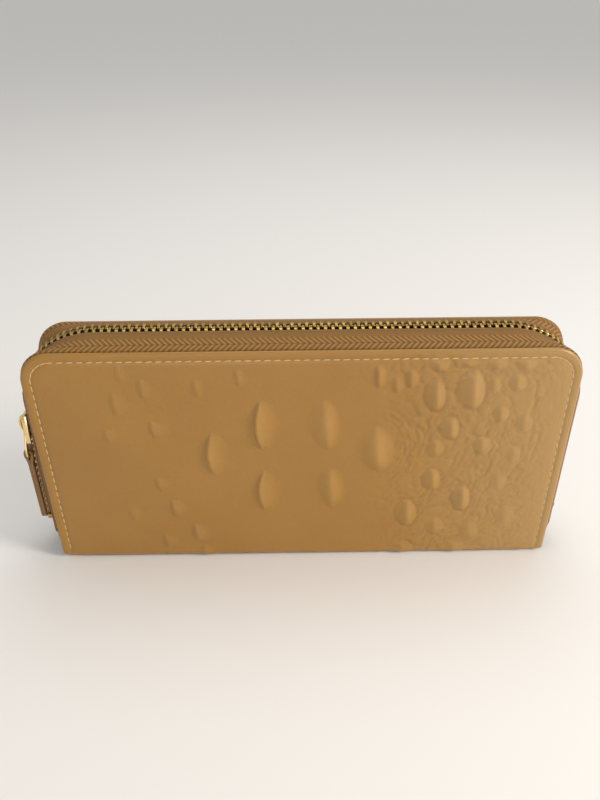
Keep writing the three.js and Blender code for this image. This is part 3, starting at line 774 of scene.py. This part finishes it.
# one tooth; its sections give the place across from the middle, the width and the thickness
tooth = {
    "pitch": 2.6 * mm, "wide": 1.22 * mm, "start": 11.05 * mm, "end": 8.6 * mm, "cord": 0.95 * mm,
    "cordAcross": 2.75 * mm, "cordFoot": 17 * mm,
    "sections": [(2.9, 0.8, 1.5), (2.35, 1.0, 2.3), (1.2, 1.0, 2.3), (0.75, 0.8, 1.7), (0.15, 0.95, 1.75),
                 (-0.45, 0.9, 1.5)],
}


def toothShape():  # X along the chain, Y across, Z outward
    bm = bmesh.new()
    bmesh.ops.create_cube(bm, size=1)
    longEdges = [e for e in bm.edges if abs(e.verts[0].co.y - e.verts[1].co.y) > 0.5]
    bmesh.ops.subdivide_edges(bm, edges=longEdges, cuts=len(tooth["sections"]) - 2, use_grid_fill=False)
    last = len(tooth["sections"]) - 1
    for v in bm.verts:
        across, wide, thick = tooth["sections"][round((0.5 - v.co.y) * last)]
        v.co = Vector((v.co.x * wide * tooth["wide"], across * mm, v.co.z * thick * mm))
    sharp = [e for e in bm.edges if len(e.link_faces) == 2 and e.calc_face_angle() > 0.8]
    bmesh.ops.bevel(bm, geom=sharp, offset=0.16 * mm, segments=1, profile=0.5, affect="EDGES", material=-1)
    return meshOf(bm, "toothShape")


def zipChain(hand):
    name = sideName[hand]
    shape = toothShape()
    bm = bmesh.new()
    flip = Matrix.Scale(-1, 4, (0, 1, 0)) if hand < 0 else Matrix.Identity(4)
    distance = tooth["start"] + (tooth["pitch"] / 2 if hand > 0 else 0)
    while distance < chainRun[-1] - tooth["end"]:
        spot, turn = trackPlace(distance)
        spot.y = hand * parting(spot.x, spot.z)
        addCopy(bm, shape, Matrix.Translation(spot) @ Matrix.Rotation(turn - pi / 2, 4, "Y") @ flip)
        distance += tooth["pitch"]
    piece = finishPiece(bm, name + "Teeth", chainBrass, shade=False, outward=True)
    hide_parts(name + "_zip_teeth")
    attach(piece, name + "_cover")
    inside = [(x, z) for x, z in chainPoints if z > tooth["cordFoot"]]
    line = [Vector((x, hand * (tooth["cordAcross"] + parting(x, z)), z)) for x, z in inside]
    beading = finishPiece(tube(line, tooth["cord"] / 2, tooth["cord"] / 2, Vector((0, 1, 0)), around=8),
                          name + "Cord", cordCloth, doubles=0.01 * mm)
    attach(beading, name + "_cover")


# a CAD node's own shape with its edges rounded off
def roundedCopy(node, name, finish, body, width):
    bm = bmesh.new()
    bm.from_mesh(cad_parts[node].data)
    bmesh.ops.remove_doubles(bm, verts=bm.verts, dist=0.002 * mm)
    bmesh.ops.dissolve_limit(bm, angle_limit=0.02, verts=bm.verts, edges=bm.edges)
    sharp = [e for e in bm.edges if len(e.link_faces) == 2 and e.calc_face_angle() > 0.5]
    bmesh.ops.bevel(bm, geom=sharp, offset=width, segments=2, profile=0.5, affect="EDGES",
                    clamp_overlap=True, material=-1)
    piece = finishPiece(bm, name, finish, doubles=0.001 * mm)
    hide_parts(node)
    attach(piece, body)


for hand in (-1, 1):
    zipTape(hand)
    zipChain(hand)
    roundedCopy(f"{sideName[hand]}_zip_top_stop", sideName[hand] + "TopStop", chainBrass,
                sideName[hand] + "_cover", 0.4 * mm)
roundedCopy("zip_bottom_stop", "bottomStop", chainBrass, "back_cover", 0.5 * mm)
print("zip made")

# the slider's arch, the link that hangs in it, and the leather tab with its two plies round the link
pull = {
    "blade": chainX + 2.5 * mm, "archHalf": 3.55 * mm, "archOut": 2.75 * mm, "archWide": 0.85 * mm,
    "archThick": 0.55 * mm, "pivotZ": 55.5 * mm, "x": chainX + 3.65 * mm, "linkLength": 10.6 * mm,
    "narrow": 1.45 * mm, "wide": 4.5 * mm, "shoulder": 2.6 * mm, "wire": 0.55 * mm, "wireOut": 0.72 * mm,
    "corner": 1.0 * mm, "tabLength": 30.8 * mm, "tabHalf": 4 * mm, "ply": 1.25 * mm, "eye": 1.15 * mm,
    "stitchSize": (2.0 * mm, 0.45 * mm), "stitchInset": 1.1 * mm, "stitchPitch": 2.7 * mm,
    "stitchFoot": 2 * mm,
}


# a half hoop on a base point: along and out are its directions, reach and high its half length and height
def arch(name, replaced, body, base, out, along, reach, high, wide, thick):
    across = along.cross(out)
    line = []
    for turn in spread(0, pi, 22):
        c, s = cos(turn), sin(turn)
        line.append(base + along * reach * copysign(abs(c) ** 0.8, c) + out * high * s ** 0.8)
    bm = tube(line, wide, thick, across)
    bmesh.ops.remove_doubles(bm, verts=bm.verts, dist=0.001 * mm)
    bmesh.ops.holes_fill(bm, edges=[e for e in bm.edges if e.is_boundary], sides=0)
    piece = finishPiece(bm, name, paleGold, outward=True)
    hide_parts(replaced)
    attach(piece, body)


def pullLink():
    top, foot = pull["pivotZ"], pull["pivotZ"] - pull["linkLength"]
    narrow, wide, bend = pull["narrow"], pull["wide"], foot + pull["shoulder"]
    corners = [(-narrow, top), (narrow, top), (wide, bend), (wide, foot), (-wide, foot), (-wide, bend)]
    line = []
    for i, (y, z) in enumerate(corners):  # each corner is rounded between points on its two sides
        (y0, z0), (y1, z1) = corners[i - 1], corners[(i + 1) % len(corners)]
        here, before, after = Vector((0, y, z)), Vector((0, y0, z0)), Vector((0, y1, z1))
        start = here + (before - here).normalized() * pull["corner"]
        end = here + (after - here).normalized() * pull["corner"]
        line += [start.lerp(here, t).lerp(here.lerp(end, t), t) for t in (0, 0.33, 0.67, 1)]
    line = [p + Vector((-pull["x"], 0, 0)) for p in line]
    bm = tube(line, pull["wire"], pull["wireOut"], Vector((1, 0, 0)), closed=True)
    piece = finishPiece(bm, "pullLink", paleGold, doubles=0.001 * mm, outward=True)
    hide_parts("zip_pull_link")
    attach(piece, "zip_link")


def pullTab():
    eyeZ = pull["pivotZ"] - pull["linkLength"]
    foot = eyeZ - pull["tabLength"]
    ply, around = pull["ply"], pull["eye"] + pull["ply"] / 2
    neck = eyeZ - 2.4 * mm
    inner = [(-ply * 0.515, z) for z in spread(foot, neck - 1.2 * mm, 24)]
    turns = spread(radians(222), radians(-42), 16)
    ring = [(around * cos(a), eyeZ + around * sin(a)) for a in turns]
    line = inner + ring + [(-x, z) for x, z in reversed(inner)]

    def place(y, i):
        x, z = line[i]
        edge = smooth(pull["tabHalf"] - 1.6 * mm, pull["tabHalf"], abs(y))
        point = Vector((-pull["x"] - x * (1 - 0.35 * edge), y, z))
        tipRound = max(foot + 1.5 * mm - z, 0) / (1.5 * mm)
        point.y *= 1 - 0.10 * tipRound ** 2
        return point

    ys = spread(-pull["tabHalf"], pull["tabHalf"], 14)
    bm = gridMesh(ys, range(len(line)), place)
    strip = finishPiece(bm, "pullTab", tabLeather, outward=True)
    thicken(strip, ply)
    soft = strip.modifiers.new("edge", "BEVEL")
    soft.width, soft.segments, soft.limit_method = 0.2 * mm, 2, "ANGLE"
    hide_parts("zip_pull_tab")
    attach(strip, "zip_tab")
    points = []
    for face in (-1, 1):
        for edge in (-1, 1):
            for i in range(int((pull["tabLength"] - 6 * mm) / pull["stitchPitch"])):
                y = edge * (pull["tabHalf"] - pull["stitchInset"])
                z = foot + pull["stitchFoot"] + i * pull["stitchPitch"]
                spot = Vector((-pull["x"] + face * (ply * 1.03), y, z))
                points.append((spot, Vector((0, 0, 1)), Vector((face, 0, 0))))
    flatStitches("tabStitches", points, pull["stitchSize"], "zip_tab")


roundedCopy("zip_slider_body", "sliderBody", paleGold, "zip_slider", 0.22 * mm)
arch("sliderArch", "zip_slider_crown", "zip_slider", Vector((-pull["blade"], 0, sliderZ)), Vector((-1, 0, 0)),
     Vector((0, 0, 1)), pull["archHalf"], pull["archOut"], pull["archWide"], pull["archThick"])
pullLink()
pullTab()
print("slider made")

# inside: linings, card pockets, coin pocket and gussets
inner = {
    "sag": 0.12 * mm, "hem": 3.2 * mm, "hemRise": 0.14 * mm, "stitchSize": (1.9 * mm, 0.38 * mm),
    "pitch": 2.9 * mm, "notch": 2.2 * mm, "cardStep": 12.5 * mm,
}


def twill(name, pale, deep):
    finish = Finish(name, pale, Roughness=0.8, Sheen_Weight=0.25)
    along, across, _ = finish.split(finish.place((1000, 1000, 1), "UV"))
    ribs = ((along + across * 0.8) / 0.55 * tau).sine() * 0.5 + 0.5
    threads = (across / 0.4 * tau).sine() * 0.5 + 0.5
    cloud = finish.noise(finish.gather(along, across), 0.08, 3)
    finish.feed("Base Color", finish.mix(ribs * 0.55 + threads * 0.1 + cloud * 0.3, deep, pale))
    finish.feed("Roughness", 0.72 + cloud * 0.2)
    finish.bump(ribs + threads * 0.3, 0.12 * mm)
    return finish


def greyBoard():
    finish = Finish("greyBoard", (0.30, 0.25, 0.18), Roughness=0.92)
    fibres = finish.noise(finish.place((1, 1, 4)), 500, 4, 0.7)
    finish.feed("Base Color", finish.mix(fibres, (0.34, 0.28, 0.2), (0.22, 0.18, 0.13)))
    finish.bump(fibres, 0.05 * mm)
    return finish


lining = twill("liningTwill", (0.20, 0.115, 0.06), (0.11, 0.058, 0.028))
board = greyBoard()


def runOf(start, end, facing):  # places for a straight run of stitches
    start, end, out = Vector(start), Vector(end), Vector((0, facing, 0))
    count = max(int((end - start).length / inner["pitch"]), 1)
    return [(start.lerp(end, (i + 0.5) / count), (end - start).normalized(), out) for i in range(count)]


def coverLining(hand):
    name = sideName[hand]
    low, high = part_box(f"{name}_cover_lining")
    radius = cornerRadius - 1 * mm
    middle = (low.y + high.y) / 2
    centre = high.z - radius

    def place(x, z):
        if z > centre:
            x *= (high.x - radius + sqrt(max(radius ** 2 - (z - centre) ** 2, 0))) / high.x
        return Vector((x, middle + inner["sag"] * noiseAt(x, hand, z, 60) * 0.5, z))

    rows = spread(low.z, centre, 24) + [centre + radius * sin(a) for a in spread(0, pi / 2, 8)[1:]]
    bm = gridMesh(spread(low.x, high.x, 64), rows, place)
    piece = finishPiece(bm, name + "Lining", lining)
    thicken(piece, 0.45 * mm)
    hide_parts(f"{name}_cover_lining")
    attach(piece, f"{name}_cover")


def cardPocket(hand, tier):
    name = sideName[hand]
    node = f"{name}_card_pocket_{tier}"
    low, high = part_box(node)
    middle = (low.y + high.y) / 2
    notch = inner["notch"]
    steps = (-1, -0.92, -0.7, -0.36, 0.36, 0.7, 0.92, 1)
    columns = sorted(spread(low.x, high.x, 60) + [notch * step for step in steps])

    def place(x, z):
        top = high.z
        if abs(x) < notch:
            top -= sqrt(notch ** 2 - x ** 2)
        z = min(z, top)
        fromTop = top - z
        hem = inner["hemRise"] * (1 - smooth(inner["hem"] - 0.5 * mm, inner["hem"], fromTop))
        seam = 0.1 * mm * exp(-(x / (0.7 * mm)) ** 2)
        bow = 0.1 * mm * sin(pi * min(abs(x) / high.x, 1)) * smooth(0, 20 * mm, fromTop)
        return Vector((x, middle - hand * (hem - seam + bow * 0.5 - 0.05 * mm), z))

    rows = spread(low.z, high.z - inner["hem"] - 0.5 * mm, 14) + spread(high.z - inner["hem"], high.z, 6)
    thickness = 0.34 * mm
    piece = finishPiece(gridMesh(columns, rows, place), f"{name}Pocket{tier}", trimLeather)
    thicken(piece, thickness)
    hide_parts(node)
    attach(piece, f"{name}_cover")
    y = middle - hand * thickness
    below = high.z - 2.2 * mm
    shownFrom = (high.z - inner["cardStep"] if tier < 4 else low.z + 1.5 * mm) + 0.8 * mm
    points = []
    for way in (-1, 1):
        x = way * (high.x - 1.6 * mm)
        points += runOf((way * 4 * mm, y, below), (way * (high.x - 3 * mm), y, below), -hand)
        points += runOf((x, y, shownFrom), (x, y, high.z - 1 * mm), -hand)
    points += runOf((0, y, shownFrom), (0, y, high.z - 3 * mm), -hand)
    flatStitches(f"{name}PocketStitches{tier}", points, inner["stitchSize"], f"{name}_cover")


# the bellows at an end of the coin pocket, in millimetres: deep is how far its middle fold goes in, flap how
# wide its glued strips are, and blunt half the width of a fold
bellows = {
    "low": 4.5, "fromTop": 26, "fromSide": 5.5, "pocketFace": 3.85, "coverFace": 7.85, "deep": 21, "flap": 6,
    "blunt": 0.45,
}


def gusset(hand, end):
    z0, z1 = bellows["low"] * mm, coverTop - bellows["fromTop"] * mm
    pocketFace, coverFace, blunt = bellows["pocketFace"], bellows["coverFace"], bellows["blunt"]
    middle = (pocketFace + coverFace) / 2
    outer = side / mm - bellows["fromSide"]
    flap, deep = outer - bellows["flap"], outer - bellows["deep"]
    corners = [(flap, pocketFace), (outer, pocketFace), (outer, pocketFace + 2 * blunt), (deep, middle - blunt),
               (deep, middle + blunt), (outer, coverFace - 2 * blunt), (outer, coverFace), (flap, coverFace)]
    line, length = [], 0
    for (x, y), (u, v) in zip(corners, corners[1:]):
        count = max(int(hypot(u - x, v - y) / 1.5), 2)
        line += [(x + (u - x) * i / count, y + (v - y) * i / count) for i in range(count)]
        length += hypot(u - x, v - y)
    line.append(corners[-1])

    def place(i, z):
        x, y = line[i]
        if 2 < i < len(line) - 3:
            y += 0.05 * noiseAt(x * 0.2, z * 90, end)
        return Vector((end * x * mm, hand * y * mm, z))

    bm = gridMesh(range(len(line)), spread(z0, z1, 20), place)
    uvLayer = bm.loops.layers.uv.verify()
    for face in bm.faces:
        for loop in face.loops:
            i, z = loop[uvLayer].uv
            loop[uvLayer].uv = i * length / len(line) * mm, z
    cover, endName = sideName[hand], "left" if end < 0 else "right"
    piece = finishPiece(bm, endName + cover.capitalize() + "Gusset", lining)
    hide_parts(f"{endName}_{cover}_gusset")
    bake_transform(piece)


def coinPanel(hand):
    node = f"coin_pocket_{sideName[hand]}_panel"
    low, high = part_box(node)
    middle = (low.y + high.y) / 2

    def place(x, z):
        sag = inner["sag"] * sin(pi * (x - low.x) / (high.x - low.x))
        sag *= sin(pi * (z - low.z) / (high.z - low.z))
        return Vector((x, middle + hand * sag * noiseAt(x * 30, hand * 3, z * 30), z))

    bm = gridMesh(spread(low.x, high.x, 58), spread(low.z, high.z, 26), place)
    piece = finishPiece(bm, sideName[hand] + "CoinPanel", trimLeather)
    thicken(piece, 0.48 * mm)
    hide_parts(node)
    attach(piece, spineBody)
    inset, y = 1.8 * mm, hand * 3.68 * mm
    points = runOf((low.x + 3 * mm, y, high.z - inset), (high.x - 3 * mm, y, high.z - inset), hand)
    for way in (-1, 1):
        x = way * (high.x - inset)
        points += runOf((x, y, 6 * mm), (x, y, high.z - 1 * mm), hand)
    flatStitches(sideName[hand] + "CoinStitches", points, inner["stitchSize"], spineBody)


coil = {"pitch": 1.25 * mm, "endGap": 0.3 * mm, "halfDeep": 0.26 * mm, "halfHigh": 0.55 * mm, "wire": 0.17 * mm}


def coinZip(hand):
    name = sideName[hand]
    low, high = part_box(f"coin_zip_{name}_tape")
    middle = (low.z + high.z) / 2

    def place(x, y):
        return Vector((x, y, middle + 0.05 * mm * noiseAt(x * 200, y * 200, 1)))

    bm = gridMesh(spread(low.x, high.x, 110), spread(low.y, high.y, 4), place)
    piece = finishPiece(bm, name + "CoinTape", lining)
    thicken(piece, 0.3 * mm)
    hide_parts(f"coin_zip_{name}_tape")
    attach(piece, spineBody)
    low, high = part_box(f"coin_zip_{name}_coil")
    centre = Vector((0, (low.y + high.y) / 2, (low.z + high.z) / 2))
    count = int((high.x - low.x) / coil["pitch"]) * 8
    line = []
    for i in range(count + 1):
        turn = i / 8 * tau
        x = low.x + coil["endGap"] + (high.x - low.x - 2 * coil["endGap"]) * i / count
        line.append(centre + Vector((x, coil["halfDeep"] * cos(turn), coil["halfHigh"] * sin(turn))))
    bm = tube(line, coil["wire"], coil["wire"], Vector((1, 0, 0.001)).normalized(), around=5)
    piece = finishPiece(bm, name + "Coil", cordCloth, doubles=0.001 * mm)
    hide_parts(f"coin_zip_{name}_coil")
    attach(piece, spineBody)


def repaint(node, finish):
    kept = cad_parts[node]
    for place in kept.material_slots:
        place.material = finish.material


for hand in (-1, 1):
    coverLining(hand)
    for tier in range(1, 5):
        cardPocket(hand, tier)
    for end in (-1, 1):
        gusset(hand, end)
    coinPanel(hand)
    coinZip(hand)
    repaint(f"{sideName[hand]}_cover_board", board)
for end in ("left", "right"):
    roundedCopy(f"coin_pocket_{end}_side", end + "CoinSide", trimLeather, spineBody, 0.1 * mm)
    roundedCopy(f"coin_zip_{end}_stop", end + "CoinStop", chainBrass, spineBody, 0.25 * mm)
roundedCopy("coin_pocket_floor", "coinFloor", trimLeather, spineBody, 0.1 * mm)
roundedCopy("coin_slider_body", "coinSliderBody", paleGold, "coin_slider", 0.14 * mm)
roundedCopy("coin_zip_pull", "coinPull", paleGold, "coin_pull", 0.2 * mm)
low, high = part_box("coin_slider_crown")
hoop = 0.35 * mm  # half the coin slider's arch is thick
arch("coinArch", "coin_slider_crown", "coin_slider", Vector(((low.x + high.x) / 2, 0, low.z)),
     Vector((0, 0, 1)), Vector((1, 0, 0)), (high.x - low.x) / 2 - hoop, high.z - low.z - hoop, 0.5 * mm, hoop)


def spineLining():
    low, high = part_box("spine_lining")
    middle = (low.z + high.z) / 2

    def place(x, y):
        return Vector((x, y, middle + inner["sag"] / 2 * noiseAt(x, y, 5, 120)))

    bm = gridMesh(spread(low.x, high.x, 64), spread(low.y, high.y, 8), place)
    strip = finishPiece(bm, "spineLining", lining)
    thicken(strip, 0.42 * mm)
    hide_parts("spine_lining")
    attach(strip, spineBody)


spineLining()
print("inside made")
